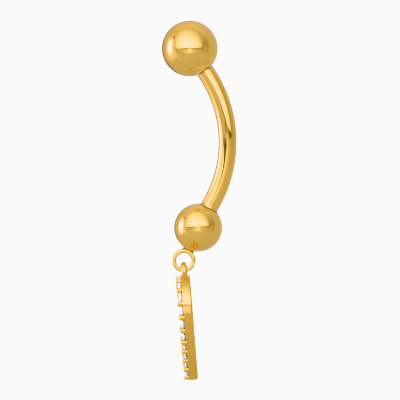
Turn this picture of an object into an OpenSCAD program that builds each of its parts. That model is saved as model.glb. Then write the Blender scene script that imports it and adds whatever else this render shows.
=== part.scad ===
// Navel ring: a curved bar with a ball at each end, a wire ring under the
// lower ball, and an open heart set with round stones that hangs from the ring.
// The origin is the middle of the bar's centreline, where it passes through the
// skin. +Z is up the bar, the front of the charm faces -Y, and the bar bulges
// toward +Y. All sizes are in millimetres, all angles in degrees.

/* [Bar] */
// Diameter of the bar, 14 gauge
bar_d = 1.63; // [1.3:0.01:1.9]
// Radius that the bar's centreline is bent to
bend_r = 11; // [9:0.1:14]
// Turn of the bend above the middle
upper_bend = 34.2; // [30:0.1:37]
// Turn of the bend below the middle
lower_bend = 28.6; // [25:0.1:32]
// Straight stretch of bar under the top ball
upper_straight = 0.2; // [0.1:0.05:0.8]
// Straight stretch of bar over the lower ball
lower_straight = 0.67; // [0.3:0.01:1.2]
// Step down in diameter from the bend to its straight ends
bar_step = 0.01; // [0.006:0.002:0.02]

/* [Top ball] */
// Diameter of the ball that screws off
top_ball_d = 5; // [4.5:0.1:6]
// Gap between the bar's shoulder and the flat on the ball
shoulder_gap = 0.03; // [0.02:0.01:0.08]
// Diameter of the plain post inside the ball
post_d = 1.1; // [0.9:0.05:1.2]
// Length of the post past the bar's shoulder
post_l = 2; // [1.4:0.1:2.6]
// Clearance round the post and past its end
post_gap = 0.05; // [0.03:0.01:0.1]

/* [Lower ball and ring] */
// Diameter of the ball that is soldered to the bar
lower_ball_d = 4.3; // [3.8:0.1:4.8]
// Radius of the solder fillet between the bar and the lower ball
bar_fillet = 0.22; // [0.1:0.01:0.4]
// Diameter of the ring's wire
ring_wire = 0.4; // [0.34:0.01:0.44]
// Inside diameter of the ring
ring_id = 1.32; // [1.28:0.01:1.5]
// Angle of the ring forward from straight below the ball
ring_angle = 23.6; // [15:0.1:32]
// Depth that the ring is let into the ball where it is soldered
solder_bite = 0.02; // [0.02:0.01:0.08]
// Radius of the solder fillet between the ring and the ball
ring_fillet = 0.12; // [0.08:0.01:0.2]
// Thickness of the solder fillet, across the ring
solder_t = 0.3; // [0.2:0.01:0.32]
// Width of the saw cut where the ring was closed
seam_w = 0.04; // [0.02:0.01:0.06]
// Angle of the saw cut below level, at the back of the ring
seam_angle = 24; // [15:1:35]
// Slant of the saw cut across the wire
seam_slant = 35; // [0:1:45]

/* [Loop of the charm] */
// Diameter of the loop's wire
loop_wire = 0.53; // [0.48:0.01:0.55]
// Inside diameter of the loop
loop_id = 0.78; // [0.74:0.01:0.9]
// Gap between the top of the loop's hole and the ring's wire
hang_gap = 0.04; // [0.03:0.01:0.06]
// Depth that the loop is let into the lobes of the heart
loop_bite = 0.2; // [0.1:0.01:0.3]
// Distance of the loop in front of the middle of the plate
loop_forward = 0.07; // [0:0.01:0.12]
// Distance of the loop behind the ring's wire
loop_back = 0.035; // [0:0.005:0.05]
// Lean of the hanging charm, its tip toward the back
lean = 4.6; // [0:0.1:7]

/* [Heart] */
// How far the outer circle of each lobe reaches past the middle of the heart
lobe_lap = 1.11; // [1:0.01:1.3]
// Radius of the outer edge of each side, below the widest place
side_r = 5.05; // [4.8:0.05:5.4]
// Half of the full width of the heart
half_w = 4.55; // [4.4:0.01:4.7]
// Half of the angle at the tip
half_tip = 46; // [44:0.5:48]
// Width of the band that makes the heart
band_w = 1.13; // [1.08:0.01:1.2]
// Thickness of the plate
plate_t = 0.82; // [0.7:0.01:1]
// Radius of the band's rounded back edges
back_round = 0.2; // [0.1:0.01:0.3]
// Width of the small flats on the band's front edges
front_break = 0.03; // [0.02:0.01:0.04]
// Step from the band's curves in to its straight limbs
limb_step = 0.004; // [0.002:0.001:0.01]
// How far the round pad under the cleft's stone stands past the band
pad_extra = 0.04; // [0.02:0.01:0.08]

/* [Stones] */
// Stones down each side, between the one at the cleft and the one at the tip
side_stones = 10; // [9:1:10]
// Diameter of each stone
stone_d = 1.05; // [0.9:0.01:1.08]
// Height of the stones' girdles above the plate
girdle_up = 0.15; // [0.08:0.01:0.2]
// Diameter of the open hole behind each stone
back_hole_d = 0.5; // [0.3:0.01:0.6]
// Clearance between a stone and the metal
stone_gap = 0.025; // [0.02:0.005:0.04]
// Diameter of each prong
prong_d = 0.44; // [0.38:0.01:0.48]
// Height of the prongs above the plate
prong_h = 0.5; // [0.42:0.01:0.56]
// Distance that a prong stands in from the edge of the band
prong_inset = 0.05; // [0.04:0.01:0.08]
// Turn from each stone to the next, so that their facets don't line up
stone_turn = 13; // [0:1:22]

/* [Hidden] */
$fn = 96;

stone_count = 2 * side_stones + 2;

// Proportions of a round brilliant cut, as shares of its radius
cut_sides = 16;
table_share = 0.57;
star_share = 0.76;
lower_share = 0.25;
crown_angle = 34.5;
pavilion_angle = 40.75;
girdle_share = 0.05;

// How far a straight stretch starts inside the bend that it continues
run_in = 0.05;
// Turn that each lobe runs on past the cleft before it is cut at the middle
past_cleft = 20;
// How far a cut starts outside the surface that it opens
eps = 0.01;

// The bar, in the YZ plane
bar_r = bar_d / 2;
top_ball_r = top_ball_d / 2;
lower_ball_r = lower_ball_d / 2;
top_flat = sqrt(pow(top_ball_r, 2) - pow(bar_r, 2));
lower_contact = sqrt(pow(lower_ball_r, 2) - pow(bar_r, 2));
top_ball_reach = upper_straight + shoulder_gap + top_flat;
lower_ball_reach = lower_straight + lower_contact;

// The ring and the place where the charm hangs
ring_mean_r = (ring_id + ring_wire) / 2;
ring_outer_r = ring_id / 2 + ring_wire;
ring_reach = lower_ball_r + ring_outer_r - solder_bite;
lower_ball_pos = bar_point(-lower_bend) - lower_ball_reach * bar_direction(-lower_bend);
ring_pos = lower_ball_pos + ring_reach * [0, -sin(ring_angle), -cos(ring_angle)];
hang_pos = ring_pos - [0, 0, ring_mean_r];

// The lobes grow with the heart, so that they always meet at the cleft
lobe_r = (half_w + lobe_lap) / 2;

// The loop, measured in the charm's own plane from the heart's widest level
loop_mean_r = (loop_id + loop_wire) / 2;
loop_outer_r = loop_id / 2 + loop_wire;
lobe_x = half_w - lobe_r;
side_x = half_w - side_r;
loop_up = sqrt(pow(lobe_r + loop_outer_r - loop_bite, 2) - pow(lobe_x, 2));
hang_up = loop_up + loop_id / 2 - hang_gap - ring_wire / 2;

// The centreline of the band: straight limb, side arc, lobe arc
half_band = band_w / 2;
lobe_mid_r = lobe_r - half_band;
side_mid_r = side_r - half_band;
tip_down = (side_mid_r + side_x * cos(half_tip)) / sin(half_tip);
limb_l = (tip_down - side_mid_r * sin(half_tip)) / cos(half_tip);
side_l = side_mid_r * half_tip * PI / 180;
cleft_turn = 180 - acos(lobe_x / lobe_mid_r);
lobe_l = lobe_mid_r * cleft_turn * PI / 180;
pitch = (limb_l + side_l + lobe_l) / (side_stones + 1);
cleft_up = lobe_mid_r * sin(cleft_turn);
tip_point = (side_r + side_x * cos(half_tip)) / sin(half_tip);

// Heights in the charm, from the middle of the plate toward the front
plate_front = plate_t / 2;
stone_r = stone_d / 2;
girdle_h = girdle_share * stone_r;
crown_h = (1 - table_share) * stone_r * tan(crown_angle);
star_h = (1 - star_share * cos(360 / cut_sides)) * stone_r * tan(crown_angle);
pavilion_h = stone_r * tan(pavilion_angle);
girdle_z = plate_front + girdle_up;
prong_r = prong_d / 2;
prong_out = half_band - prong_r - prong_inset;

function stone_name(i) = str("stone_", i < 10 ? "0" : "", i);

// A point of the bar's centreline, and the direction of the bar there
function bar_point(turn) = [0, bend_r * (cos(turn) - 1), bend_r * sin(turn)];
function bar_direction(turn) = [0, -sin(turn), cos(turn)];

// A point beside the band's centreline: s runs up the right limb from the tip
// to the cleft, and out is the distance toward the heart's outer edge
function band_point(s, out = 0) =
    s < limb_l
        ? [s * sin(half_tip) + out * cos(half_tip), -tip_down + s * cos(half_tip) - out * sin(half_tip)]
    : s < limb_l + side_l
        ? arc_point(side_x, side_mid_r + out, (s - limb_l) / side_mid_r * 180 / PI - half_tip)
        : arc_point(lobe_x, lobe_mid_r + out, (s - limb_l - side_l) / lobe_mid_r * 180 / PI);
function arc_point(x, r, turn) = [x + r * cos(turn), r * sin(turn)];

// Stones are numbered down the right side from the cleft, then up the left
function stone_step(i) = i <= side_stones + 2 ? side_stones + 2 - i : i - side_stones - 2;
function stone_side(i) = i <= side_stones + 2 ? 1 : -1;
function stone_place(i) =
    let (p = band_point(stone_step(i) * pitch)) [stone_side(i) * p[0], p[1], girdle_z];

// Ring of n points at radius r and height z, the first turned by start
function ring_points(n, r, z, start) =
    [for (i = [0:n - 1]) [r * cos(start + i * 360 / n), r * sin(start + i * 360 / n), z]];

module at_bar_end(turn) {
    translate(bar_point(turn)) rotate([turn, 0, 0]) children();
}

// The straight ends start inside the bend, and the post inside the upper one
module curved_bar() {
    translate([0, -bend_r, 0]) rotate([90, 0, 90])
        rotate_extrude(angle = upper_bend + lower_bend, start = -lower_bend)
            translate([bend_r, 0]) circle(d = bar_d);
    at_bar_end(upper_bend) translate([0, 0, -run_in])
        cylinder(d = bar_d - bar_step, h = upper_straight + run_in);
    at_bar_end(upper_bend) translate([0, 0, upper_straight / 2])
        cylinder(d = post_d, h = upper_straight / 2 + post_l);
    at_bar_end(-lower_bend) mirror([0, 0, 1]) translate([0, 0, -run_in])
        cylinder(d = bar_d - bar_step, h = lower_ball_reach + run_in);
}

// Solder between the bar and the lower ball, turned about the bar's axis
module bar_solder() {
    fillet_x = bar_r + bar_fillet;
    fillet_y = sqrt(pow(lower_ball_r + bar_fillet, 2) - pow(fillet_x, 2));
    on_ball = lower_ball_r / (lower_ball_r + bar_fillet);
    at_bar_end(-lower_bend) translate([0, 0, -lower_ball_reach])
        rotate_extrude() difference() {
            polygon([
                [0, fillet_y * on_ball - bar_fillet],
                [bar_r, fillet_y * on_ball - bar_fillet],
                [fillet_x * on_ball, fillet_y * on_ball],
                [fillet_x, fillet_y],
                [0, fillet_y]
            ]);
            translate([fillet_x, fillet_y]) circle(r = bar_fillet);
        }
}

// The wire ring, with the saw cut that closed it
module wire_ring() {
    translate(ring_pos) rotate([90, 0, 90]) difference() {
        rotate_extrude() translate([ring_mean_r, 0]) circle(d = ring_wire);
        rotate([0, 0, -seam_angle]) translate([ring_mean_r, 0, 0]) rotate([0, 0, seam_slant])
            cube([2 * ring_wire, seam_w, 2 * ring_wire], center = true);
    }
}

// Solder between the ring and the ball: a web with a fillet on each side
module ring_solder() {
    to_ball = lower_ball_r + ring_fillet;
    to_ring = ring_outer_r + ring_fillet;
    down = (pow(to_ball, 2) - pow(to_ring, 2) + pow(ring_reach, 2)) / (2 * ring_reach);
    across = sqrt(pow(to_ball, 2) - pow(down, 2));
    on_ball = lower_ball_r / to_ball;
    on_ring = ring_outer_r / to_ring;
    ring_down = ring_reach + (down - ring_reach) * on_ring;
    translate(lower_ball_pos) rotate([-ring_angle, 0, 0]) rotate([0, 90, 0])
        translate([0, 0, -solder_t / 2]) linear_extrude(solder_t) difference() {
            polygon([
                [down * on_ball, -across * on_ball], [down, -across], [ring_down, -across * on_ring],
                [ring_down, across * on_ring], [down, across], [down * on_ball, across * on_ball]
            ]);
            for (side = [-1, 1]) translate([down, side * across]) circle(r = ring_fillet);
        }
}

module barbell() {
    color("goldenrod") {
        curved_bar();
        translate(lower_ball_pos) sphere(d = lower_ball_d);
        bar_solder();
        wire_ring();
        ring_solder();
    }
}

module top_ball() {
    color("gold") at_bar_end(upper_bend) translate([0, 0, upper_straight + shoulder_gap])
        difference() {
            translate([0, 0, top_flat]) sphere(d = top_ball_d);
            translate([0, 0, -top_ball_r]) cylinder(r = top_ball_r, h = top_ball_r);
            translate([0, 0, -eps])
                cylinder(d = post_d + 2 * post_gap, h = post_l - shoulder_gap + post_gap + eps);
        }
}

// Outline of the band across its width: front edges broken, back edges rounded
module band_profile(side = half_band, face = plate_front) {
    polygon([
        [-side, face - front_break], [-side + front_break, face],
        [side - front_break, face], [side, face - front_break],
        [side, -face + back_round], [side - back_round, -face],
        [-side + back_round, -face], [-side, -face + back_round]
    ]);
    for (way = [-1, 1]) translate([way * (side - back_round), -face + back_round])
        circle(r = back_round);
}

// Right half of the band, run past the middle and cut there
module half_heart() {
    intersection() {
        union() {
            translate([lobe_x, 0, 0]) rotate_extrude(angle = cleft_turn + past_cleft)
                translate([lobe_mid_r, 0]) band_profile();
            translate([side_x, 0, 0]) rotate_extrude(angle = half_tip, start = -half_tip)
                translate([side_mid_r, 0]) band_profile();
            translate(concat(band_point(limb_l), 0)) rotate([0, 0, -half_tip]) rotate([90, 0, 0])
                translate([0, 0, -run_in]) linear_extrude(limb_l + band_w)
                    band_profile(half_band - limb_step, plate_front - limb_step);
        }
        translate([0, -2 * half_w, -plate_t]) cube([2 * half_w, 4 * half_w, 2 * plate_t]);
    }
}

// Round pad that carries the stone at the cleft
module cleft_pad() {
    translate([0, cleft_up, 0]) rotate_extrude() intersection() {
        band_profile(half_band + pad_extra, plate_front - limb_step);
        translate([0, -plate_t]) square([band_w, 2 * plate_t]);
    }
}

module charm_loop() {
    translate([0, loop_up, loop_forward]) rotate_extrude()
        translate([loop_mean_r, 0]) circle(d = loop_wire);
}

// One prong with a domed end, whose root starts that far inside the plate
module prong(place, root = plate_t / 8) {
    shank = root + prong_h - prong_r;
    translate([place[0], place[1], plate_front - root]) rotate_extrude() {
        square([prong_r, shank]);
        translate([0, shank]) intersection() {
            circle(r = prong_r);
            square(prong_r);
        }
    }
}

module prongs() {
    for (side = [-1, 1], step = [0:side_stones], edge = [-1, 1]) {
        p = band_point((step + 0.5) * pitch, edge * prong_out);
        prong([side * p[0], p[1]]);
    }
    prong([0, -tip_point + prong_r + prong_inset]);
    prong([0, cleft_up - stone_r - stone_gap], plate_t - back_round);
}

// Room for one stone: open back hole, cone, girdle and crown, each with clearance
module stone_seat() {
    wall_r = stone_r + stone_gap;
    hole_r = back_hole_d / 2;
    cone_gap = stone_gap / cos(pavilion_angle);
    rotate_extrude() polygon([
        [0, -girdle_z - plate_t], [hole_r, -girdle_z - plate_t],
        [hole_r, -(stone_r - hole_r) * tan(pavilion_angle) - cone_gap],
        [wall_r, stone_gap * tan(pavilion_angle) - cone_gap],
        [wall_r, girdle_h + stone_gap],
        [star_share * stone_r + stone_gap, girdle_h + star_h + stone_gap],
        [table_share * stone_r + stone_gap, girdle_h + crown_h + stone_gap],
        [0, girdle_h + crown_h + stone_gap]
    ]);
}

module heart_charm() {
    color("goldenrod") hang_charm() difference() {
        union() {
            half_heart();
            mirror([1, 0, 0]) half_heart();
            cleft_pad();
            charm_loop();
            prongs();
        }
        for (i = [1:stone_count]) translate(stone_place(i)) stone_seat();
    }
}

// Stands the charm up, leans it and hangs its loop on the ring
module hang_charm() {
    translate(hang_pos + [0, loop_back, 0]) rotate([lean, 0, 0])
        translate([0, loop_forward, -hang_up]) rotate([90, 0, 0]) children();
}

// A round brilliant: table, 8 stars, 8 kites and 16 halves above the girdle,
// 16 halves and 8 mains below it
module brilliant() {
    step = 360 / cut_sides;
    half = cut_sides / 2;
    tilt = cos(step);
    lower_z = -(1 - lower_share * tilt) * stone_r * tan(pavilion_angle);
    points = concat(
        ring_points(half, table_share * stone_r, girdle_h + crown_h, 0),
        ring_points(half, star_share * stone_r, girdle_h + star_h, step),
        ring_points(cut_sides, stone_r, girdle_h, 0),
        ring_points(cut_sides, stone_r, 0, 0),
        ring_points(half, lower_share * stone_r, lower_z, step),
        [[0, 0, -pavilion_h]]
    );
    star = half;
    upper = 2 * half;
    lower = upper + cut_sides;
    main = lower + cut_sides;
    culet = main + half;
    polyhedron(points, concat(
        [[for (i = [0:half - 1]) half - 1 - i]],
        [for (i = [0:half - 1]) [i, (i + 1) % half, star + i]],
        [for (i = [0:half - 1]) [i, star + i, upper + 2 * i, star + (i + half - 1) % half]],
        [for (i = [0:half - 1]) [star + i, upper + 2 * i + 1, upper + 2 * i]],
        [for (i = [0:half - 1]) [star + i, upper + (2 * i + 2) % cut_sides, upper + 2 * i + 1]],
        [for (i = [0:cut_sides - 1])
            [upper + i, upper + (i + 1) % cut_sides, lower + (i + 1) % cut_sides, lower + i]],
        [for (i = [0:half - 1]) [main + i, lower + 2 * i, lower + 2 * i + 1]],
        [for (i = [0:half - 1]) [main + i, lower + 2 * i + 1, lower + (2 * i + 2) % cut_sides]],
        [for (i = [0:half - 1]) [culet, main + (i + half - 1) % half, lower + 2 * i, main + i]]
    ));
}

module stone(i) {
    color("white") hang_charm() translate(stone_place(i)) rotate([0, 0, i * stone_turn])
        brilliant();
}

barbell();
top_ball();
heart_charm();
for (i = [1:stone_count]) stone(i);
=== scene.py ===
# Navel ring: the looks of its curved bar, two balls, hanging open heart and stones.
# Shapes are made in millimetres and turned into metres when they are finished.
import bmesh
import bpy
import math
from mathutils import Matrix, Vector, noise


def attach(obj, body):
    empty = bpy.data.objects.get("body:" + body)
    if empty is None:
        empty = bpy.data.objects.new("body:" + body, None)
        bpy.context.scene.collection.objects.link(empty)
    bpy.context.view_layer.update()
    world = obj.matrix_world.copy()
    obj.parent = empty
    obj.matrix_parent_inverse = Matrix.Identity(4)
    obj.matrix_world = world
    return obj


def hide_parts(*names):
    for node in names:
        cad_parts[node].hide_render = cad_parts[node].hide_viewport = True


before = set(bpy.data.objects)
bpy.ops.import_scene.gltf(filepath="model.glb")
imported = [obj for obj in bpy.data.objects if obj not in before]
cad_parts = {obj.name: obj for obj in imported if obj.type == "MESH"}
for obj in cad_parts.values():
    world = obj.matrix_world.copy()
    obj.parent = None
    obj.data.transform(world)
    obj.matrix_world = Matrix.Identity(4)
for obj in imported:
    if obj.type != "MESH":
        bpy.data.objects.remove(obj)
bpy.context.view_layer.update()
scene = bpy.context.scene
metresPerMm = 0.001
weldDistance = 1e-5       # points nearer than this, in mm, are one
print("frame loaded with", len(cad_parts), "CAD nodes")


# Adds a node; an input is a value, a socket, a node that stands for its first live output, or a
# list of them for a socket that takes several links
def addNode(tree, kind, inputs=None, **settings):
    node = tree.nodes.new(kind)
    for name, value in settings.items():
        setattr(node, name, value)
    for key, value in (inputs or {}).items():
        socket = node.inputs[key]
        for source in value if isinstance(value, list) else [value]:
            if isinstance(source, bpy.types.Node):
                source = next(output for output in source.outputs if output.enabled)
            if isinstance(source, bpy.types.NodeSocket):
                tree.links.new(source, socket)
            else:
                socket.default_value = source
    return node


# An sRGB hex value as a linear colour
def hexColour(value):
    shares = [int(value[i:i + 2], 16) / 255 for i in (1, 3, 5)]
    return (*(share / 12.92 if share <= 0.04045 else ((share + 0.055) / 1.055) ** 2.4
              for share in shares), 1)


# Scale of a noise whose lumps are this many millimetres apart
def lumpScale(sizeMm):
    return 1 / (sizeMm * metresPerMm)


# A bare material, its tree and the place on the object that its patterns follow
def newMaterial(name):
    material = bpy.data.materials.new(name)
    material.use_nodes = True
    tree = material.node_tree
    tree.nodes.clear()
    return material, tree, addNode(tree, "ShaderNodeTexCoord").outputs["Object"]


# Gives a colour ramp its stops, each a place along it and a colour
def setStops(ramp, stops):
    elements = ramp.color_ramp.elements
    while len(elements) < len(stops):
        elements.new(1.0)
    for element, (place, colour) in zip(elements, stops):
        element.position = place
        element.color = colour


# A noise whose lumps lie this many mm apart, and the colour that it gives from stops of hex values
def mottle(tree, place, spacing, detail, stops):
    lumps = addNode(tree, "ShaderNodeTexNoise",
                    {"Vector": place, "Scale": lumpScale(spacing), "Detail": detail})
    colour = addNode(tree, "ShaderNodeValToRGB", {"Fac": lumps})
    setStops(colour, [(at, hexColour(value)) for at, value in stops])
    return lumps, colour


# Camera: level with the piece, at the photograph's side view, with a long lens. Sizes are in mm
cameraSettings = {"lens": 1000, "sensor": 36, "framed": 35.56, "middleY": -2.453, "middleZ": -5.142}


def placeCamera(settings):
    data = bpy.data.cameras.new("sideCamera")
    data.lens = settings["lens"]
    data.sensor_width = settings["sensor"]
    distance = settings["framed"] * settings["lens"] / settings["sensor"]
    camera = bpy.data.objects.new("sideCamera", data)
    camera.location = Vector((distance, settings["middleY"], settings["middleZ"])) * metresPerMm
    camera.rotation_euler = (math.radians(90), 0, math.radians(90))  # looks along -X with +Z up
    scene.collection.objects.link(camera)
    scene.camera = camera


placeCamera(cameraSettings)

# Studio: a white tent, a soft panel close in front of the piece, a strip beside it. The panel stands
# near enough for its lower edge to show higher in the lower ball than in the top one
studioSettings = {
    "tent": 0.69,             # brightness of the tent's walls
    "tentTop": 0.87,
    "topFrom": 0.5,           # share of straight up at which the walls start to turn into the top
    # Patches of the tent: turn round from the camera, rise and half sizes in degrees, how crisp
    # their upright edges are, and the light that they add or the share that they take away
    "patches": (
        {"turn": -92, "rise": 4, "width": 11.5, "height": 13, "crisp": 4, "adds": 15},     # the strip
        {"turn": -86, "rise": -4, "width": 22, "height": 36, "crisp": 1, "adds": 0.65},    # its glow
        {"turn": -84, "rise": 34, "width": 6, "height": 5, "crisp": 1, "dims": 0.6},       # its frame
        {"turn": 76, "rise": 16, "width": 10, "height": 27, "crisp": 1, "dims": 0.3},      # gap at the back
        {"turn": -160, "rise": -12, "width": 15, "height": 28, "crisp": 1, "dims": 0.6},   # shade behind
    ),
    "levelCrisp": 1.2,        # how crisp their level edges are
    "leastToward": 0.02,      # a direction sees a patch if this share of it or more points there
    "backdrop": 1.9,          # what the camera itself sees: plain white
    # The light that is found after so many mirrors
    "inCorners": {2: (0.74, 1.02, 1.9, 1), 3: (0.78, 1.5, 4, 1)},
}
# The panel's plane leans over the piece; u runs to the back and v up, as shares of its distance
panelSettings = {
    "distance": 164,
    "lean": 19.8,
    "colour": (0.92, 1.03, 0.9, 1),   # through cream cloth
    "colourFull": 3,          # full where the light is this many times the tent's
    "brightest": 6.4,
    "slant": 0.25,            # the front side leans outward
    "bottom": -0.27,
    "climb": 0.03,            # the lower edge climbs to the back
    "gap": 0.074,             # height of the dark gap below it
    "edgeBlur": 0.015,        # softness of the lower edge and of the gap
    "card": ((-2.5, 2.1), (-1.25, 2.3)),   # how far the card that carries it all reaches
    "fade": 0.3,              # softness of the card's own edges
    # Shares of brightness, or of darkness in the gap, at places along the plane
    "across": ((-2.1, 0), (-1.5, 0.22), (-1.1, 0.36), (-0.8, 0.62), (-0.45, 0.95), (-0.25, 1), (0, 0.82),
               (0.3, 0.62), (0.55, 0.4), (0.85, 0.15), (1.25, 0)),
    "up": ((-0.5, 0.62), (-0.2, 0.72), (0.1, 1), (0.28, 0.72), (0.6, 0.4), (0.9, 0.28), (1.3, 0.19),
           (1.9, 0.07), (2.3, 0)),
    "gapAcross": ((-1.9, 0), (-1.5, 0.15), (-1.0, 0.35), (-0.75, 0.93), (-0.3, 0.92), (-0.12, 0.5),
                  (-0.07, 0.9), (0.0, 0.9), (0.04, 0.4), (0.35, 0.4), (0.55, 0.8), (1.2, 0.8), (1.6, 0)),
    "bells": (
        {"u": -0.08, "v": -0.6, "width": 0.42, "height": 0.15, "adds": 0.5},    # table's edge, lit
        {"u": -0.035, "v": -0.46, "width": 0.11, "height": 0.2, "adds": 1.3},   # bright fold in it
        {"u": -1.62, "v": 0.1, "width": 0.09, "height": 0.6, "dims": 0.5},      # front post of the panel
        {"u": 1.65, "v": 0.05, "width": 0.33, "height": 0.7, "dims": 0.34},     # back post
    ),
}


# 1 in the middle of a patch and a half at its half sizes: falls off like a bell, or faster
def addBell(tree, offsets):
    shares = []
    for off, half, crisp in offsets:
        off = addNode(tree, "ShaderNodeMath", {0: off, 1: half}, operation="DIVIDE")
        square = addNode(tree, "ShaderNodeMath", {0: off, 1: off}, operation="MULTIPLY")
        shares.append(addNode(tree, "ShaderNodeMath", {0: square, 1: float(crisp)}, operation="POWER"))
    spread = addNode(tree, "ShaderNodeMath", {0: shares[0], 1: shares[1]}, operation="ADD")
    return addNode(tree, "ShaderNodeMath", {0: 0.5, 1: spread}, operation="POWER")


# Adds a patch's light, or takes its share away
def addPatch(tree, light, bell, patch):
    if "adds" in patch:
        return addNode(tree, "ShaderNodeMath", {0: bell, 1: patch["adds"], 2: light},
                       operation="MULTIPLY_ADD")
    kept = addNode(tree, "ShaderNodeMath", {0: bell, 1: -patch["dims"], 2: 1.0}, operation="MULTIPLY_ADD")
    return addNode(tree, "ShaderNodeMath", {0: light, 1: kept}, operation="MULTIPLY")


# Gold that mirrors gold finds an even, cool light, without panel or strip: in the corners between
# ball, bar and ring the real surfaces are dull, and don't turn orange
def evenInCorners(tree, light, corners):
    path = addNode(tree, "ShaderNodeLightPath")
    mirrors = addNode(tree, "ShaderNodeMath", {0: path.outputs["Glossy Depth"],
                      1: path.outputs["Transmission Depth"]}, operation="SUBTRACT")
    for passed, colour in corners.items():
        deep = addNode(tree, "ShaderNodeMath", {0: mirrors, 1: passed - 1.0}, operation="GREATER_THAN")
        light = addNode(tree, "ShaderNodeMix", {0: deep, 6: light, 7: colour}, data_type="RGBA")
    return light


def makeTent(settings):
    world = bpy.data.worlds.new("whiteTent")
    scene.world = world
    world.use_nodes = True
    tree = world.node_tree
    tree.nodes.clear()
    direction = addNode(tree, "ShaderNodeTexCoord").outputs["Generated"]
    rise = addNode(tree, "ShaderNodeSeparateXYZ", {0: direction}).outputs["Z"]
    light = addNode(tree, "ShaderNodeMapRange", {
        "Value": rise, "From Min": settings["topFrom"], "From Max": 1.0,
        "To Min": settings["tent"], "To Max": settings["tentTop"]}, interpolation_type="SMOOTHSTEP")
    least = settings["leastToward"]
    for patch in settings["patches"]:
        turn, lift = math.radians(patch["turn"]), math.radians(patch["rise"])
        toPatch = (math.cos(turn) * math.cos(lift), math.sin(turn) * math.cos(lift), math.sin(lift))
        sideways = (-math.sin(turn), math.cos(turn), 0)
        upward = (-math.cos(turn) * math.sin(lift), -math.sin(turn) * math.sin(lift), math.cos(lift))
        toward, across, up = [
            addNode(tree, "ShaderNodeVectorMath", {0: direction, 1: axis},
                    operation="DOT_PRODUCT").outputs["Value"] for axis in (toPatch, sideways, upward)]
        inFront = addNode(tree, "ShaderNodeMath", {0: toward, 1: least}, operation="GREATER_THAN")
        ahead = addNode(tree, "ShaderNodeMath", {0: toward, 1: least}, operation="MAXIMUM")
        offsets = []
        for off, half, crisp in ((across, patch["width"], patch["crisp"]),
                                 (up, patch["height"], settings["levelCrisp"])):
            off = addNode(tree, "ShaderNodeMath", {0: off, 1: ahead}, operation="DIVIDE")
            offsets.append((off, math.tan(math.radians(half)), crisp))
        bell = addNode(tree, "ShaderNodeMath", {0: addBell(tree, offsets), 1: inFront},
                       operation="MULTIPLY")
        light = addPatch(tree, light, bell, patch)
    studio = addNode(tree, "ShaderNodeBackground",
                     {"Color": evenInCorners(tree, light, settings["inCorners"]), "Strength": 1.0})
    backdrop = addNode(tree, "ShaderNodeBackground",
                       {"Color": (1, 1, 1, 1), "Strength": settings["backdrop"]})
    seen = addNode(tree, "ShaderNodeLightPath").outputs["Is Camera Ray"]
    shown = addNode(tree, "ShaderNodeMixShader", {0: seen, 1: studio, 2: backdrop})
    addNode(tree, "ShaderNodeOutputWorld", {"Surface": shown})


# The product of several values
def multiplied(tree, product, *others):
    for other in others:
        product = addNode(tree, "ShaderNodeMath", {0: product, 1: other}, operation="MULTIPLY")
    return product


# The panel's axes: toward its middle, to the back and up
def panelAxes(settings):
    lean = math.radians(settings["lean"])
    return (Vector((math.cos(lean), 0, math.sin(lean))), Vector((0, 1, 0)),
            Vector((-math.sin(lean), 0, math.cos(lean))))


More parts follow.
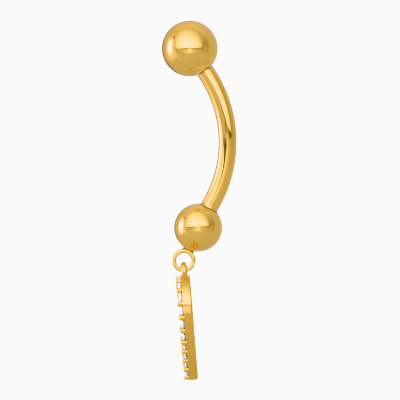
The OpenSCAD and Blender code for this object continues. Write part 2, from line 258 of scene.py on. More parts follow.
# White nylon stretched in front of lamps: its weave scatters their light into one soft glow, dark
# only where the frame leaves a gap
def diffusingCloth(settings, studio):
    material, tree, place = newMaterial("diffusing_cloth")
    (uLow, uHigh), (vLow, vHigh) = settings["card"]
    distance, tent = settings["distance"] * metresPerMm, studio["tent"]
    u, v = [addNode(tree, "ShaderNodeVectorMath", {0: place, 1: axis / distance},
                    operation="DOT_PRODUCT").outputs["Value"] for axis in panelAxes(settings)[1:]]
    slanted = addNode(tree, "ShaderNodeMath", {0: v, 1: settings["slant"], 2: u}, operation="MULTIPLY_ADD")
    level = addNode(tree, "ShaderNodeMath", {0: u, 1: -settings["climb"], 2: v}, operation="MULTIPLY_ADD")
    share = {}
    for name, at in (("across", slanted), ("up", v), ("gapAcross", u)):
        stops = settings[name]
        start, end = stops[0][0], stops[-1][0]
        along = addNode(tree, "ShaderNodeMapRange", {"Value": at, "From Min": start, "From Max": end})
        share[name] = addNode(tree, "ShaderNodeValToRGB", {"Fac": along})
        setStops(share[name], [((stop - start) / (end - start), (bright, bright, bright, 1))
                               for stop, bright in stops])

    # Fades, each from dark to bright
    bottom, gap, fade, blur = [settings[key] for key in ("bottom", "gap", "fade", "edgeBlur")]
    fades = {
        "above": (level, bottom - blur, bottom + blur),
        "gapTop": (level, bottom + blur, bottom - blur),
        "gapBottom": (level, bottom - gap - blur, bottom - gap + blur),
        "cardFront": (u, uLow, uLow + fade),
        "cardBack": (u, uHigh, uHigh - fade),
        "cardBottom": (v, vLow, vLow + fade),
        "cardTop": (v, vHigh, vHigh - fade),
    }
    edge = {name: addNode(tree, "ShaderNodeMapRange", {"Value": at, "From Min": dark, "From Max": bright},
                          interpolation_type="SMOOTHSTEP") for name, (at, dark, bright) in fades.items()}
    light = multiplied(tree, edge["above"], share["across"], share["up"], settings["brightest"])
    light = addNode(tree, "ShaderNodeMath", {0: light, 1: tent}, operation="ADD")
    for bell in settings["bells"]:
        offsets = []
        for at, middle, half in ((u, bell["u"], bell["width"]), (v, bell["v"], bell["height"])):
            off = addNode(tree, "ShaderNodeMath", {0: at, 1: middle}, operation="SUBTRACT")
            offsets.append((off, half, 1))
        light = addPatch(tree, light, addBell(tree, offsets), bell)
    dark = multiplied(tree, edge["gapTop"], edge["gapBottom"], share["gapAcross"])
    kept = addNode(tree, "ShaderNodeMath", {0: 1.0, 1: dark}, operation="SUBTRACT")
    light = addNode(tree, "ShaderNodeMath", {0: light, 1: kept}, operation="MULTIPLY")
    cover = multiplied(tree, *(edge["card" + side] for side in ("Front", "Back", "Bottom", "Top")))
    lit = addNode(tree, "ShaderNodeMapRange", {"Value": light, "From Min": tent,
                  "From Max": settings["colourFull"] * tent})
    tint = addNode(tree, "ShaderNodeMix", {0: lit, 6: (1, 1, 1, 1), 7: settings["colour"]},
                   data_type="RGBA")
    light = addNode(tree, "ShaderNodeVectorMath", {0: tint, 1: light}, operation="MULTIPLY")
    glow = addNode(tree, "ShaderNodeEmission",
                   {"Color": evenInCorners(tree, light, studio["inCorners"]), "Strength": 1.0})
    clear = addNode(tree, "ShaderNodeBsdfTransparent")
    shown = addNode(tree, "ShaderNodeMixShader", {0: cover, 1: clear, 2: glow})
    addNode(tree, "ShaderNodeOutputMaterial", {"Surface": shown})
    return material


def makePanel(settings, material):
    distance = settings["distance"] * metresPerMm
    toPanel, uAxis, vAxis = panelAxes(settings)
    (uLow, uHigh), (vLow, vHigh) = settings["card"]
    corners = [distance * (toPanel + u * uAxis + v * vAxis)
               for u, v in ((uLow, vLow), (uHigh, vLow), (uHigh, vHigh), (uLow, vHigh))]
    mesh = bpy.data.meshes.new("softPanel")
    mesh.from_pydata(corners, [], [(0, 1, 2, 3)])
    mesh.materials.append(material)
    panel = bpy.data.objects.new("softPanel", mesh)
    panel.visible_camera = False
    scene.collection.objects.link(panel)


makeTent(studioSettings)
makePanel(panelSettings, diffusingCloth(panelSettings, studioSettings))
scene.view_settings.view_transform = "Khronos PBR Neutral"
print("camera and studio made")


# 14 karat yellow gold, turned and buffed to a mirror: the last buffing leaves the surface a little
# wavy, which bends the reflections, and hairlines too fine to see singly, which haze them in places.
# The real bar is turned a little about the upright axis, and the frame keeps it level. So its normals
# alone are tilted, by lean degrees at a height of one bend radius, which moves its reflections alike
def polishedGold(name, lean=0.0):
    material, tree, place = newMaterial(name)
    colour = mottle(tree, place, 1.8, 1.0, ((0, "#F8C76B"), (1, "#FCCD74")))[1]
    stretch = addNode(tree, "ShaderNodeMapping", {"Vector": place, "Scale": (1, 1, 0.12)})
    hairs = addNode(tree, "ShaderNodeTexNoise",
                    {"Vector": stretch, "Scale": lumpScale(0.05), "Detail": 3.0})
    haze = addNode(tree, "ShaderNodeMapRange", {"Value": hairs, "From Min": 0.3, "From Max": 0.7,
                   "To Min": 0.035, "To Max": 0.065})
    wave = addNode(tree, "ShaderNodeTexNoise", {"Vector": place, "Scale": lumpScale(1.1), "Detail": 0.0})
    facing = addNode(tree, "ShaderNodeNewGeometry").outputs["Normal"]
    slope = (0, 0, math.radians(lean) / (barbellSettings["bendRadius"] * metresPerMm))
    turned = addNode(tree, "ShaderNodeVectorMath", {0: place, 1: slope, 2: facing},
                     operation="MULTIPLY_ADD")
    buffed = addNode(tree, "ShaderNodeBump", {"Height": wave, "Strength": 1.0,
                     "Distance": 0.006 * metresPerMm, "Normal": turned})
    metal = addNode(tree, "ShaderNodeBsdfPrincipled", {"Base Color": colour, "Metallic": 1.0,
                    "Roughness": haze, "Normal": buffed})
    addNode(tree, "ShaderNodeOutputMaterial", {"Surface": metal})
    return material


# The same gold, cast and tumbled: a faint pebbled skin softens every reflection
def castGold():
    material, tree, place = newMaterial("cast_yellow_gold")
    cloud, colour = mottle(tree, place, 0.9, 2.0, ((0, "#F4BB5B"), (1, "#FBC669")))
    haze = addNode(tree, "ShaderNodeMapRange", {"Value": cloud, "From Min": 0.3, "From Max": 0.7,
                   "To Min": 0.03, "To Max": 0.06})
    skin = addNode(tree, "ShaderNodeTexNoise", {"Vector": place, "Scale": lumpScale(0.16), "Detail": 3.0})
    tumbled = addNode(tree, "ShaderNodeBump", {"Height": skin, "Strength": 1.0,
                      "Distance": 0.0012 * metresPerMm})
    metal = addNode(tree, "ShaderNodeBsdfPrincipled", {"Base Color": colour, "Metallic": 1.0,
                    "Roughness": haze, "Normal": tumbled})
    addNode(tree, "ShaderNodeOutputMaterial", {"Surface": metal})
    return material


# Gold solder as the torch left it: lumpy, unpolished, with a brown skin of oxide in its pits
def rawSolder():
    material, tree, place = newMaterial("raw_gold_solder")
    lumps, colour = mottle(tree, place, 0.14, 4.0, ((0.42, "#8F6430"), (0.62, "#EDC27C")))
    haze = addNode(tree, "ShaderNodeMapRange", {"Value": lumps, "From Min": 0.4, "From Max": 0.65,
                   "To Min": 0.5, "To Max": 0.25})
    pitted = addNode(tree, "ShaderNodeBump", {"Height": lumps, "Strength": 1.0,
                     "Distance": 0.05 * metresPerMm})
    metal = addNode(tree, "ShaderNodeBsdfPrincipled", {"Base Color": colour, "Metallic": 1.0,
                    "Roughness": haze, "Normal": pitted})
    addNode(tree, "ShaderNodeOutputMaterial", {"Surface": metal})
    return material


# Painted shade: dull dark brown in the joints, standing in for the shade of their hairline gaps, so each
# joint shows as a line
def paintedJointShade():
    material, tree, place = newMaterial("painted_joint_shade")
    colour = mottle(tree, place, 0.12, 3.0, ((0.35, "#46301A"), (0.65, "#A0763E")))[1]
    dried = addNode(tree, "ShaderNodeBsdfPrincipled", {"Base Color": colour, "Roughness": 0.8})
    addNode(tree, "ShaderNodeOutputMaterial", {"Surface": dried})
    return material


# Cubic zirconia, cut and polished on a lap: colourless, with a high index. Its facets are too small to
# see singly and their flashes blend, so half of it is clear and half is white
def cubicZirconia():
    material, tree, place = newMaterial("cubic_zirconia")
    film = addNode(tree, "ShaderNodeTexNoise", {"Vector": place, "Scale": lumpScale(0.35), "Detail": 2.0})
    lap = addNode(tree, "ShaderNodeMapRange", {"Value": film, "From Min": 0.45, "From Max": 0.75,
                  "To Min": 0.0, "To Max": 0.03})
    glass = addNode(tree, "ShaderNodeBsdfPrincipled", {"Base Color": hexColour("#FBF9FF"), "Roughness": lap,
                    "IOR": 2.16, "Transmission Weight": 0.5})
    addNode(tree, "ShaderNodeOutputMaterial", {"Surface": glass})
    return material


# White acrylic sheet of a light table: faintly lit from below, and matt
def litAcrylic(settings):
    material, tree, place = newMaterial("lit_white_acrylic")
    radius = settings["radius"] * metresPerMm
    colour = mottle(tree, place, 0.5, 2.0, ((0, "#6C6C6E"), (1, "#727273")))[1]
    glow = evenInCorners(tree, hexColour("#ABABAB"), studioSettings["inCorners"])
    sheet = addNode(tree, "ShaderNodeBsdfPrincipled", {"Base Color": colour, "Roughness": 0.7,
                    "Emission Color": glow, "Emission Strength": 1.0})
    flat = addNode(tree, "ShaderNodeVectorMath", {0: place, 1: (1, 1, 0)}, operation="MULTIPLY")
    out = addNode(tree, "ShaderNodeVectorMath", {0: flat}, operation="LENGTH").outputs["Value"]
    rim = addNode(tree, "ShaderNodeMapRange", {"Value": out, "From Min": radius * settings["fadesFrom"],
                  "From Max": radius}, interpolation_type="SMOOTHSTEP")
    clear = addNode(tree, "ShaderNodeBsdfTransparent")
    mixed = addNode(tree, "ShaderNodeMixShader", {0: rim, 1: sheet, 2: clear})
    addNode(tree, "ShaderNodeOutputMaterial", {"Surface": mixed})
    return material


# Floor: a round sheet well under the tip of the heart, in mm. It fades out from a share of its
# radius on
floorSettings = {"height": -26, "radius": 75, "fadesFrom": 0.5, "sides": 128}


def makeFloor(settings):
    shape = bmesh.new()
    bmesh.ops.create_circle(shape, cap_ends=True, segments=settings["sides"], radius=settings["radius"],
                            matrix=Matrix.Translation((0, 0, settings["height"])))
    shape.transform(Matrix.Scale(metresPerMm, 4))
    mesh = bpy.data.meshes.new("floor")
    shape.to_mesh(mesh)
    shape.free()
    mesh.materials.append(litAcrylic(settings))
    floor = bpy.data.objects.new("floor", mesh)
    scene.collection.objects.link(floor)


makeFloor(floorSettings)


# Skins rings of points, in order; a ring of one point is a pole
def addShell(shape, rings, materialIndex=0, closed=False):
    made = [[shape.verts.new(point) for point in ring] for ring in rings]
    pairs = list(zip(made, made[1:])) + ([(made[-1], made[0])] if closed else [])
    for low, high in pairs:
        count = max(len(low), len(high))
        for i in range(count):
            j = (i + 1) % count
            corners = (low[i % len(low)], low[j % len(low)], high[j % len(high)], high[i % len(high)])
            face = shape.faces.new(list(dict.fromkeys(corners)))
            face.material_index = materialIndex


# Points of a profile along an arc: (distance along the axis, distance out from it)
def arc(along, out, radius, start, end, step):
    count = max(1, round(abs(end - start) / step))
    turns = [math.radians(start + (end - start) * i / count) for i in range(count + 1)]
    return [(along + radius * math.sin(turn), out + radius * math.cos(turn)) for turn in turns]


# Turns a profile about an axis, which frameAt gives as (centre, side, other side)
def lathe(profile, frameAt, sides):
    rings = []
    for along, radius in profile:
        centre, side, other = frameAt(along)
        turns = [2 * math.pi * i / sides for i in range(sides)]
        rings.append([centre] if radius < weldDistance else
                     [centre + radius * (math.cos(turn) * side + math.sin(turn) * other) for turn in turns])
    return rings


# An upright axis, for the shapes that are instanced
def uprightFrame(along):
    return Vector((0, 0, along)), Vector((1, 0, 0)), Vector((0, 1, 0))


# A finished piece: smooth, with crisp edges, in metres, riding on its body
def finishPiece(name, mesh, body, materials=(), sharpAbove=32):
    mesh.transform(Matrix.Scale(metresPerMm, 4))
    if sharpAbove:
        mesh.shade_smooth()
        mesh.set_sharp_from_angle(angle=math.radians(sharpAbove))
    for material in materials:
        mesh.materials.append(material)
    piece = bpy.data.objects.new(name, mesh)
    scene.collection.objects.link(piece)
    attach(piece, body)
    print(name, "made with", len(mesh.polygons), "faces")
    return piece


def meshFrom(shape, name):
    bmesh.ops.remove_doubles(shape, verts=shape.verts, dist=weldDistance)
    bmesh.ops.recalc_face_normals(shape, faces=shape.faces)
    mesh = bpy.data.meshes.new(name)
    shape.to_mesh(mesh)
    shape.free()
    return mesh


# The bar, the lower ball and the wire ring, in mm and degrees
barbellSettings = {
    "barDiameter": 1.63,
    "bendRadius": 11,
    "upperBend": 34.2,
    "lowerBend": 28.6,
    "upperStraight": 0.2,
    "lowerStraight": 0.67,
    "edgeBreak": 0.02,
    "postDiameter": 1.1,
    "postLength": 2,
    "ballDiameter": 4.3,
    "fillet": 0.22,
    "ringWire": 0.4,
    "ringInside": 1.32,
    "ringAngle": 23.6,
    "ringBite": 0.02,
    "seamWidth": 0.04,
    "seamAngle": 24,
    "seamSlant": 35,
    "solderReach": 0.54,      # along the ring, each way from where it touches
    "solderOnBall": 0.22,     # half of the solder's width on the ball
    "solderOnRing": 0.17,
    "solderLump": 0.035,
    "solderGrain": 0.11,
    "solderWaist": 0.25,      # share of its width that it loses halfway down
    "solderBlunt": 0.35,      # share of its width that it keeps at its two ends
    "solderSag": 0.6,         # how far a lump goes down, for how far it goes out
    "solderSunk": 0.05,       # how far it reaches into the ball and into the ring
    "jointShadeWide": 0.05,        # painted joint shade's width along the bar, at its shoulder and at its fillet
    "barTurned": 5.8,         # tilt of its normals, for its reflections alone
    "ballStep": 2.5,
    "filletStep": 8,
    "edgeStep": 30,
    "barStations": 90,
    "ringStations": 140,
    "solderStations": 44,
    "sides": 112,
    "wireSides": 40,
    "solderSides": 28,
}

goldPolished, goldCast = polishedGold("polished_yellow_gold"), castGold()
goldOfBar = polishedGold("polished_yellow_gold_bar", barbellSettings["barTurned"])
solderRaw, jointShadeMaterial, stoneClear = rawSolder(), paintedJointShade(), cubicZirconia()
onBall, onSolder, onJointShade, onBar = range(4)   # the barbell's material slots
print("materials made")

barRadius = barbellSettings["barDiameter"] / 2
ballRadius = barbellSettings["ballDiameter"] / 2
bendRadius = barbellSettings["bendRadius"]
bendTop = bendRadius * math.radians(barbellSettings["upperBend"])
bendBottom = -bendRadius * math.radians(barbellSettings["lowerBend"])
shoulderAt = bendTop + barbellSettings["upperStraight"]
ballAt = bendBottom - barbellSettings["lowerStraight"] - math.sqrt(ballRadius ** 2 - barRadius ** 2)


# The bar's axis: an arc in the YZ plane that runs on straight past both its ends
def barFrame(along):
    onBend = min(max(along, bendBottom), bendTop)
    turn = onBend / bendRadius
    outward = Vector((0, math.cos(turn), math.sin(turn)))
    upward = Vector((0, -math.sin(turn), math.cos(turn)))
    centre = bendRadius * outward - Vector((0, bendRadius, 0)) + (along - onBend) * upward
    return centre, Vector((1, 0, 0)), outward


ringMiddle = (barbellSettings["ringInside"] + barbellSettings["ringWire"]) / 2
ringOuter = barbellSettings["ringInside"] / 2 + barbellSettings["ringWire"]
ringReach = ballRadius + ringOuter - barbellSettings["ringBite"]
ringTurn = math.radians(barbellSettings["ringAngle"])
ballCentre = barFrame(ballAt)[0]
ringDirection = Vector((0, -math.sin(ringTurn), -math.cos(ringTurn)))
ringCentre = ballCentre + ringReach * ringDirection
hangPoint = ringCentre - Vector((0, 0, ringMiddle))


# Lower ball, fillet, bar, shoulder and post: one turned profile along the bar's axis
def addBarAndBall(shape, settings):
    fillet, edge, shadeBand = settings["fillet"], settings["edgeBreak"], settings["jointShadeWide"]
    filletOut = barRadius + fillet
    filletUp = math.sqrt((ballRadius + fillet) ** 2 - filletOut ** 2)
    touch = math.degrees(math.atan2(filletUp, filletOut))
    barStart, postRadius = ballAt + filletUp, settings["postDiameter"] / 2
    postEnd = shoulderAt + settings["postLength"]
    stations = settings["barStations"]
    profile = arc(ballAt, 0, ballRadius, -90, touch, settings["ballStep"])
    profile += arc(barStart, filletOut, fillet, touch + 180, 180, settings["filletStep"])
    profile += [(barStart + (shoulderAt - edge - barStart) * i / stations, barRadius)
                for i in range(1, stations)]
    profile.append((shoulderAt - shadeBand, barRadius))
    profile += arc(shoulderAt - edge, barRadius - edge, edge, 0, 90, settings["edgeStep"])
    profile += [(shoulderAt, postRadius), (postEnd - edge, postRadius), (postEnd, postRadius - edge),
                (postEnd, 0)]
    addShell(shape, lathe(profile, barFrame, settings["sides"]), onBall)
    for face in shape.faces:
        if (face.calc_center_median() - ballCentre).length > ballRadius + fillet:
            face.material_index = onBar
    # Painted shade: a dark band on the bar at its shoulder and next to its fillet, where the joints lie in
    # shade
    for joint in (shoulderAt, barStart - fillet + shadeBand):
        centre, sideways, outward = barFrame(joint)
        for face in shape.faces:
            off = face.calc_center_median() - centre
            if off.length < filletOut and abs(off.dot(sideways.cross(outward))) < shadeBand:
                face.material_index = onJointShade


# Closes a row of rings at both ends, each with a point in its middle
def capped(rings):
    start, end = [sum(ring, Vector()) / len(ring) for ring in (rings[0], rings[-1])]
    return [[start], *rings, [end]]


# The ring is one wire whose two ends meet at a slanting saw cut
def addRing(shape, settings):
    wire, seam = settings["ringWire"] / 2, math.radians(-settings["seamAngle"])
    seamSlant = math.radians(settings["seamSlant"])
    slant = math.tan(seamSlant)
    halfCut = settings["seamWidth"] / 2 / math.cos(seamSlant) / ringMiddle
    steps, sides = settings["ringStations"], settings["wireSides"]
    rings = []
    for i in range(steps + 1):
        around = seam + halfCut + (2 * math.pi - 2 * halfCut) * i / steps
        ring = []
        for j in range(sides):
            out = wire * math.cos(2 * math.pi * j / sides)
            turn = around + out * slant / ringMiddle
            ring.append(ringCentre + Vector((wire * math.sin(2 * math.pi * j / sides),
                                             (ringMiddle + out) * math.cos(turn),
                                             (ringMiddle + out) * math.sin(turn))))
        rings.append(ring)
    addShell(shape, capped(rings), onBall)


# Solder fills the crevice between the ball and the ring, and spreads a little on the ball
def addSolder(shape, settings):
    reach, sunk, blunt = settings["solderReach"], settings["solderSunk"], settings["solderBlunt"]
    steps, sides = settings["solderStations"], settings["solderSides"]
    sideways = ringDirection.cross(Vector((1, 0, 0)))
    rings = []
    for i in range(1, steps):
        along = reach * math.cos(math.pi * i / steps)
        taper = math.sqrt(1 - (along / reach) ** 2)
        nearBall = math.sqrt(ballRadius ** 2 - along ** 2)
        nearRing = ringReach - math.sqrt(ringOuter ** 2 - along ** 2)
        ring = []
        for j in range(sides):
            turn = 2 * math.pi * j / sides
            down = (1 - math.cos(turn)) / 2
            wide = settings["solderOnBall"] * (1 - down) + settings["solderOnRing"] * down
            waist = 1 - settings["solderWaist"] * math.sin(math.pi * down)
            x = wide * waist * (blunt + (1 - blunt) * taper) * math.sin(turn)
            depth = (nearBall - sunk) * (1 - down) + (nearRing + sunk) * down
            depth -= x * x / (2 * ballRadius) * (1 - down)
            point = ballCentre + depth * ringDirection + along * sideways + Vector((x, 0, 0))
            lump = noise.noise(point / settings["solderGrain"]) * settings["solderLump"] * taper
            sag = lump * settings["solderSag"] * ringDirection
            ring.append(point + Vector((math.copysign(lump, x), 0, 0)) + sag)
        rings.append(ring)
    addShell(shape, capped(rings), onSolder)


def makeBarbell(settings):
    shape = bmesh.new()
    addBarAndBall(shape, settings)
    addRing(shape, settings)
    addSolder(shape, settings)
    piece = finishPiece("curvedBarbell", meshFrom(shape, "curvedBarbell"), "bar",
                        (goldPolished, solderRaw, jointShadeMaterial, goldOfBar))
    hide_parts("barbell")


makeBarbell(barbellSettings)

# The ball that screws off, bored for the post, in mm and degrees
topBallSettings = {"diameter": 5, "gap": 0.03, "postGap": 0.05, "edgeBreak": 0.02, "ballStep": 2,
                   "sides": 128}


def makeTopBall(settings):
    shape = bmesh.new()
    radius, edge = settings["diameter"] / 2, settings["edgeBreak"]
    flatAt = shoulderAt + settings["gap"]
    toFlat = math.sqrt(radius ** 2 - barRadius ** 2)
    boreRadius = barbellSettings["postDiameter"] / 2 + settings["postGap"]
    boreEnd = shoulderAt + barbellSettings["postLength"] + settings["postGap"]
    start = math.degrees(edge / radius - math.asin(toFlat / radius))
    profile = [(boreEnd, 0), (boreEnd, boreRadius), (flatAt + edge, boreRadius),
               (flatAt, boreRadius + edge), (flatAt, barRadius - edge)]
    profile += arc(flatAt + toFlat, 0, radius, start, 90, settings["ballStep"])
    addShell(shape, lathe(profile, barFrame, settings["sides"]))
    piece = finishPiece("screwBall", meshFrom(shape, "screwBall"), "bar", (goldPolished,))
    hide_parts("top_ball")


makeTopBall(topBallSettings)

# The open heart with its prongs and loop, in mm and degrees
heartSettings = {
    "halfWidth": 4.55,
    "lobeLap": 1.11,
    "sideRadius": 5.05,
    "halfTip": 46,
    "bandWidth": 1.13,
    "plateThickness": 0.82,
    "backRound": 0.2,
    "frontBreak": 0.03,
    "padExtra": 0.04,
    "padInset": 0.004,        # its faces lie this far inside the band's
    "pastCleft": 20,
    "sideStones": 10,
    "stoneDiameter": 1.05,
    "girdleUp": 0.15,
    "backHole": 0.5,
    "stoneGap": 0.025,
    "prongDiameter": 0.44,
    "prongHeight": 0.5,
    "prongInset": 0.05,
    "prongRoot": 0.6,
    "loopWire": 0.53,
    "loopInside": 0.78,
    "loopBite": 0.2,
    "loopForward": 0.07,
    "loopBack": 0.035,
    "hangGap": 0.04,
    "lean": 4.6,
    "prongTilt": 2.5,         # hand-pushed prongs lean a little, each its own way
    "prongWear": 0.06,        # the most that one has lost of its height, as a share
    "seed": 7,
    "sharpAbove": 30,
    "pathStep": 2.5,
    "loopStep": 12,
    "roundStep": 15,          # of the pad's edge and of a prong's head
    "loopSides": 96,
    "padSides": 64,
    "prongSides": 24,
    "seatSides": 40,
}
# Proportions of a round brilliant, as shares of its radius, and its angles
brilliant = {"table": 0.57, "star": 0.76, "crownAngle": 34.5, "pavilionAngle": 40.75, "girdle": 0.05,
             "sides": 16}


# The heart is worked out flat: x across, y up from its widest level, z to the front
halfBand = heartSettings["bandWidth"] / 2
plateFront = heartSettings["plateThickness"] / 2
lobeRadius = (heartSettings["halfWidth"] + heartSettings["lobeLap"]) / 2
lobeX = heartSettings["halfWidth"] - lobeRadius
sideX = heartSettings["halfWidth"] - heartSettings["sideRadius"]
lobeMiddle = lobeRadius - halfBand
sideMiddle = heartSettings["sideRadius"] - halfBand
halfTip = math.radians(heartSettings["halfTip"])
tipDown = (sideMiddle + sideX * math.cos(halfTip)) / math.sin(halfTip)
limbLength = (tipDown - sideMiddle * math.sin(halfTip)) / math.cos(halfTip)
cleftTurn = math.pi - math.acos(lobeX / lobeMiddle)
cleftUp = lobeMiddle * math.sin(cleftTurn)
bandLength = limbLength + sideMiddle * halfTip + lobeMiddle * cleftTurn
pitch = bandLength / (heartSettings["sideStones"] + 1)
stoneRadius = heartSettings["stoneDiameter"] / 2
prongRadius = heartSettings["prongDiameter"] / 2
loopMiddle = (heartSettings["loopInside"] + heartSettings["loopWire"]) / 2
loopOuter = heartSettings["loopInside"] / 2 + heartSettings["loopWire"]
loopUp = math.sqrt((lobeRadius + loopOuter - heartSettings["loopBite"]) ** 2 - lobeX ** 2)
hangUp = (loopUp + heartSettings["loopInside"] / 2 - heartSettings["hangGap"]
          - barbellSettings["ringWire"] / 2)
prongOut = halfBand - prongRadius - heartSettings["prongInset"]
tipPoint = (heartSettings["sideRadius"] + sideX * math.cos(halfTip)) / math.sin(halfTip)
hangCharm = (
    Matrix.Translation(hangPoint + Vector((0, heartSettings["loopBack"], 0)))
    @ Matrix.Rotation(math.radians(heartSettings["lean"]), 4, "X")
    @ Matrix.Translation((0, heartSettings["loopForward"], -hangUp))
    @ Matrix.Rotation(math.radians(90), 4, "X")
)


# Centreline of the right half of the band: limb, side and lobe, run past the middle at both ends
def halfHeartPath(lead, pastCleft, step):
    direction = Vector((math.sin(halfTip), math.cos(halfTip), 0))
    tip = Vector((0, -tipDown, 0))
    points = [tip - lead * direction, tip, tip + 0.5 * limbLength * direction]
    for x, radius, start, end in ((sideX, sideMiddle, -halfTip, 0),
                                  (lobeX, lobeMiddle, 0, cleftTurn + pastCleft)):
        count = round((end - start) / step)
        turns = [start + (end - start) * i / count for i in range(count + 1)]
        points += [Vector((x + radius * math.cos(turn), radius * math.sin(turn), 0)) for turn in turns]
    mesh = bpy.data.meshes.new("heartPath")
    mesh.from_pydata(points, [(i, i + 1) for i in range(len(points) - 1)], [])
    return bpy.data.objects.new("heartPath", mesh)


# A turned blank that the heart's nodes join on, copy or cut with
def turnedBlank(name, profile, sides, place=(0, 0, 0), closed=False):
    shape = bmesh.new()
    addShell(shape, lathe(profile, uprightFrame, sides), closed=closed)
    shape.transform(Matrix.Translation(place))
    return bpy.data.objects.new(name, meshFrom(shape, name))


def heartBlanks(settings):
    wire = settings["loopWire"] / 2
    loop = turnedBlank("loopBlank", arc(0, loopMiddle, wire, 0, 360, settings["loopStep"])[:-1],
                       settings["loopSides"], (0, loopUp, settings["loopForward"]), closed=True)
    side, face = halfBand + settings["padExtra"], plateFront - settings["padInset"]
    back, front, step = settings["backRound"], settings["frontBreak"], settings["roundStep"]
    profile = [(-face, 0)] + arc(-face + back, side - back, back, -90, 0, step)
    profile += [(face - front, side), (face, side - front), (face, 0)]
    pad = turnedBlank("padBlank", profile, settings["padSides"], (0, cleftUp, 0))
    root = settings["prongRoot"]
    dome = arc(settings["prongHeight"] - prongRadius, 0, prongRadius, 0, 90, step)
    prong = turnedBlank("prongBlank", [(-root, 0), (-root, prongRadius)] + dome, settings["prongSides"])

    # Room for a stone: open back, cone, girdle and crown
    slope = math.tan(math.radians(brilliant["pavilionAngle"]))
    rise = math.tan(math.radians(brilliant["crownAngle"]))
    gap, hole = settings["stoneGap"], settings["backHole"] / 2
    below = gap / math.cos(math.radians(brilliant["pavilionAngle"]))
    girdle = brilliant["girdle"] * stoneRadius + gap
    starTilt = math.cos(2 * math.pi / brilliant["sides"])
    through = -settings["girdleUp"] - 2 * settings["plateThickness"]
    profile = [(through, 0), (through, hole), (-(stoneRadius - hole) * slope - below, hole),
               (gap * slope - below, stoneRadius + gap), (girdle, stoneRadius + gap)]
    for share, tilt in ((brilliant["star"], starTilt), (brilliant["table"], 1)):
        profile.append((girdle + (1 - share * tilt) * stoneRadius * rise, share * stoneRadius + gap))
    seat = turnedBlank("seatBlank", profile + [(profile[-1][0], 0)], settings["seatSides"])
    return {"Loop": loop, "Pad": pad, "Prong": prong, "Seat": seat}


# Band: a rounded bar section along the path, cut at the middle and mirrored
def addBand(tree, size, path):
    block = 40.0        # mm: a cube that holds the whole of one side
    cutFace = 0.0001    # mm: faces this near to the middle are the cut's own
    joint = 0.0005      # mm: the two sides' points join within this
    cornerPoints = 6    # on the rounding of each corner
    section = addNode(tree, "GeometryNodeCurvePrimitiveQuadrilateral",
                      {"Width": size["Band Width"], "Height": size["Plate Thickness"]})
    corner = addNode(tree, "GeometryNodeInputPosition")
    corner = addNode(tree, "ShaderNodeSeparateXYZ", {0: corner}).outputs["Y"]
    atBack = addNode(tree, "FunctionNodeCompare", {0: corner, 1: 0.0}, operation="GREATER_THAN")
    rounding = addNode(tree, "GeometryNodeSwitch",
                       {0: atBack, 1: size["Front Break"], 2: size["Back Round"]}, input_type="FLOAT")
    section = addNode(tree, "GeometryNodeFilletCurve",
                      {"Curve": section, "Count": cornerPoints, "Radius": rounding}, mode="POLY")
    band = addNode(tree, "GeometryNodeCurveToMesh",
                   {"Curve": path, "Profile Curve": section, "Fill Caps": True})
    side = addNode(tree, "GeometryNodeMeshCube", {0: (block, block, block)})
    side = addNode(tree, "GeometryNodeTransform", {0: side, 1: (block / 2, 0, 0)})
    right = addNode(tree, "GeometryNodeMeshBoolean", {1: [band, side]}, operation="INTERSECT",
                    solver="MANIFOLD")
    across = addNode(tree, "GeometryNodeInputPosition")
    across = addNode(tree, "ShaderNodeSeparateXYZ", {0: across}).outputs["X"]
    onCut = addNode(tree, "FunctionNodeCompare", {0: across, 1: cutFace}, operation="LESS_THAN")
    right = addNode(tree, "GeometryNodeDeleteGeometry", {0: right, 1: onCut}, domain="FACE")
    left = addNode(tree, "GeometryNodeTransform", {0: right, 3: (-1, 1, 1)})
    left = addNode(tree, "GeometryNodeFlipFaces", {0: left})
    heart = addNode(tree, "GeometryNodeJoinGeometry", {0: [right, left]})
    return addNode(tree, "GeometryNodeMergeByDistance", {"Geometry": heart, "Distance": joint})


# The path's place and normal so many stone pitches up from the tip
def samplePath(tree, size, path, step):
    along = addNode(tree, "ShaderNodeMath", {0: step, 1: size["Pitch"], 2: size["Lead"]},
                    operation="MULTIPLY_ADD")
    return addNode(tree, "GeometryNodeSampleCurve", {"Curves": path, "Length": along}, mode="LENGTH",
                   use_all_curves=True).outputs


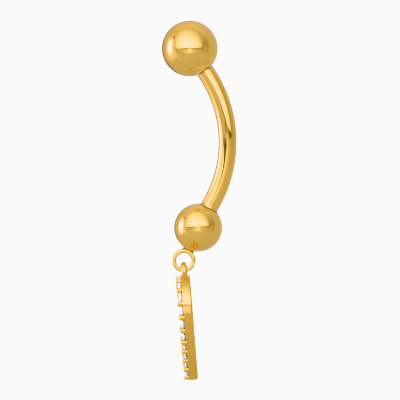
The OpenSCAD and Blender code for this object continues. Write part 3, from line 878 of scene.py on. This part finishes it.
# Prongs stand in pairs halfway between the stones, with one more at the tip and at the cleft
def addProngs(tree, size, path):
    index = addNode(tree, "GeometryNodeInputIndex")
    half = addNode(tree, "ShaderNodeMath", {0: index, 1: 0.5}, operation="MULTIPLY")
    step = addNode(tree, "ShaderNodeMath", {0: half}, operation="FLOOR")
    edge = addNode(tree, "ShaderNodeMath", {0: half, 1: step}, operation="SUBTRACT")  # 0 or 0.5
    edge = addNode(tree, "ShaderNodeMath", {0: edge, 1: 4.0, 2: -1.0}, operation="MULTIPLY_ADD")  # -1 or 1
    edge = addNode(tree, "ShaderNodeMath", {0: edge, 1: size["Prong Out"]}, operation="MULTIPLY")
    step = addNode(tree, "ShaderNodeMath", {0: step, 1: 0.5}, operation="ADD")
    onPath = samplePath(tree, size, path, step)
    beside = addNode(tree, "ShaderNodeVectorMath", {0: onPath["Normal"], "Scale": edge}, operation="SCALE")
    place = addNode(tree, "ShaderNodeVectorMath", {0: onPath["Position"], 1: beside}, operation="ADD")
    front = addNode(tree, "ShaderNodeMath", {0: size["Plate Thickness"], 1: 0.5}, operation="MULTIPLY")
    raised = addNode(tree, "ShaderNodeCombineXYZ", {"Z": front})
    place = addNode(tree, "ShaderNodeVectorMath", {0: place, 1: raised}, operation="ADD")
    count = addNode(tree, "ShaderNodeMath", {0: size["Side Stones"], 1: 2.0, 2: 2.0},
                    operation="MULTIPLY_ADD")
    right = addNode(tree, "GeometryNodePoints", {"Count": count, "Position": place})
    left = addNode(tree, "GeometryNodeTransform", {0: right, 3: (-1, 1, 1)})
    atTip = addNode(tree, "GeometryNodePoints", {"Position": size["Tip Prong"]})
    atCleft = addNode(tree, "GeometryNodePoints", {"Position": size["Cleft Prong"]})
    points = addNode(tree, "GeometryNodeJoinGeometry", {0: [right, left, atTip, atCleft]})
    least, most = [addNode(tree, "ShaderNodeVectorMath", {0: (way, way, 0), "Scale": size["Prong Tilt"]},
                           operation="SCALE") for way in (-1, 1)]
    tilt = addNode(tree, "FunctionNodeRandomValue", {0: least, 1: most, "Seed": size["Seed"]},
                   data_type="FLOAT_VECTOR")
    unworn = addNode(tree, "ShaderNodeMath", {0: 1.0, 1: size["Wear"]}, operation="SUBTRACT")
    worn = addNode(tree, "FunctionNodeRandomValue", {2: unworn, 3: 1.0, "Seed": size["Seed"]},
                   data_type="FLOAT")
    tall = addNode(tree, "ShaderNodeCombineXYZ", {"X": 1.0, "Y": 1.0, "Z": worn})
    prong = addNode(tree, "GeometryNodeObjectInfo", {0: size["Prong"]}).outputs["Geometry"]
    return addNode(tree, "GeometryNodeInstanceOnPoints",
                   {"Points": points, "Instance": prong, "Rotation": tilt, "Scale": tall})


# Seats: one on each step from tip to cleft on the right, and between them on the left
def addSeats(tree, size, path):
    raised = addNode(tree, "ShaderNodeCombineXYZ", {"Z": size["Girdle Height"]})
    sides = []
    for first, extra, mirror in ((0.0, 2.0, 1), (1.0, 0.0, -1)):
        index = addNode(tree, "GeometryNodeInputIndex")
        step = addNode(tree, "ShaderNodeMath", {0: index, 1: first}, operation="ADD")
        place = samplePath(tree, size, path, step)["Position"]
        place = addNode(tree, "ShaderNodeVectorMath", {0: place, 1: raised}, operation="ADD")
        count = addNode(tree, "ShaderNodeMath", {0: size["Side Stones"], 1: extra}, operation="ADD")
        points = addNode(tree, "GeometryNodePoints", {"Count": count, "Position": place})
        sides.append(addNode(tree, "GeometryNodeTransform", {0: points, 3: (mirror, 1, 1)}))
    points = addNode(tree, "GeometryNodeJoinGeometry", {0: sides})
    seat = addNode(tree, "GeometryNodeObjectInfo", {0: size["Seat"]}).outputs["Geometry"]
    return addNode(tree, "GeometryNodeInstanceOnPoints", {"Points": points, "Instance": seat})


# Node tree: a path becomes one side of an open heart, is mirrored, and gets its prongs and seats
def heartTree():
    tree = bpy.data.node_groups.new("openHeart", "GeometryNodeTree")
    sockets = {
        "Path": "Geometry", "Band Width": "Float", "Plate Thickness": "Float", "Back Round": "Float",
        "Front Break": "Float", "Lead": "Float", "Pitch": "Float", "Side Stones": "Int",
        "Prong Out": "Float", "Tip Prong": "Vector", "Cleft Prong": "Vector", "Girdle Height": "Float",
        "Prong Tilt": "Float", "Wear": "Float", "Seed": "Int", "Sharp Above": "Float",
        "Loop": "Object", "Pad": "Object", "Prong": "Object", "Seat": "Object", "Metal": "Material",
    }
    for name, kind in sockets.items():
        tree.interface.new_socket(name, in_out="INPUT", socket_type="NodeSocket" + kind)
    tree.interface.new_socket("Heart", in_out="OUTPUT", socket_type="NodeSocketGeometry")
    size = addNode(tree, "NodeGroupInput").outputs
    path = addNode(tree, "GeometryNodeMeshToCurve", {0: size["Path"]})
    path = addNode(tree, "GeometryNodeSetCurveNormal", {0: path}, mode="Z_UP")
    loop, pad = [addNode(tree, "GeometryNodeObjectInfo", {0: size[name]}).outputs["Geometry"]
                 for name in ("Loop", "Pad")]
    joined = [addBand(tree, size, path), pad, loop, addProngs(tree, size, path)]
    solid = addNode(tree, "GeometryNodeMeshBoolean", {1: joined}, operation="UNION", solver="MANIFOLD")
    solid = addNode(tree, "GeometryNodeMeshBoolean", {0: solid, 1: addSeats(tree, size, path)},
                    operation="DIFFERENCE", solver="MANIFOLD")
    solid = addNode(tree, "GeometryNodeRealizeInstances", {0: solid})
    solid = addNode(tree, "GeometryNodeSetShadeSmooth", {0: solid, "Shade Smooth": True}, domain="FACE")
    bend = addNode(tree, "GeometryNodeInputMeshEdgeAngle").outputs["Unsigned Angle"]
    crisp = addNode(tree, "FunctionNodeCompare", {0: bend, 1: size["Sharp Above"]},
                    operation="GREATER_THAN")
    solid = addNode(tree, "GeometryNodeSetShadeSmooth",
                    {0: solid, "Selection": crisp, "Shade Smooth": False}, domain="EDGE")
    solid = addNode(tree, "GeometryNodeSetMaterial", {0: solid, "Material": size["Metal"]})
    addNode(tree, "NodeGroupOutput", {0: solid})
    return tree


def makeHeart(settings):
    lead = settings["bandWidth"]
    path = halfHeartPath(lead, math.radians(settings["pastCleft"]), math.radians(settings["pathStep"]))
    blanks = heartBlanks(settings)
    scene.collection.objects.link(path)
    nodes = path.modifiers.new("openHeart", "NODES")
    nodes.node_group = heartTree()
    values = {
        "Band Width": settings["bandWidth"],
        "Plate Thickness": settings["plateThickness"],
        "Back Round": settings["backRound"],
        "Front Break": settings["frontBreak"],
        "Lead": lead,
        "Pitch": pitch,
        "Side Stones": settings["sideStones"],
        "Prong Out": prongOut,
        "Tip Prong": (0, -tipPoint + prongRadius + settings["prongInset"], plateFront),
        "Cleft Prong": (0, cleftUp - stoneRadius - settings["stoneGap"], plateFront),
        "Girdle Height": plateFront + settings["girdleUp"],
        "Prong Tilt": math.radians(settings["prongTilt"]),
        "Wear": settings["prongWear"],
        "Seed": settings["seed"],
        "Sharp Above": math.radians(settings["sharpAbove"]),
        "Metal": goldCast,
        **blanks,
    }
    for socket in nodes.node_group.interface.items_tree:
        if socket.name in values:
            nodes[socket.identifier] = values[socket.name]
    weighted = path.modifiers.new("weighted", "WEIGHTED_NORMAL")  # keeps the flat faces flat in the light
    weighted.keep_sharp = True
    mesh = bpy.data.meshes.new_from_object(path.evaluated_get(bpy.context.evaluated_depsgraph_get()))
    for blank in (path, *blanks.values()):
        bpy.data.objects.remove(blank)
    mesh.transform(hangCharm)
    piece = finishPiece("openHeart", mesh, "charm", sharpAbove=None)
    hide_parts("heart_charm")


makeHeart(heartSettings)

# The stones keep their cut from the CAD nodes, and only get their material
for name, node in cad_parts.items():
    if name.startswith("stone_"):
        for slot in node.material_slots:
            slot.material = stoneClear
print("stones finished")
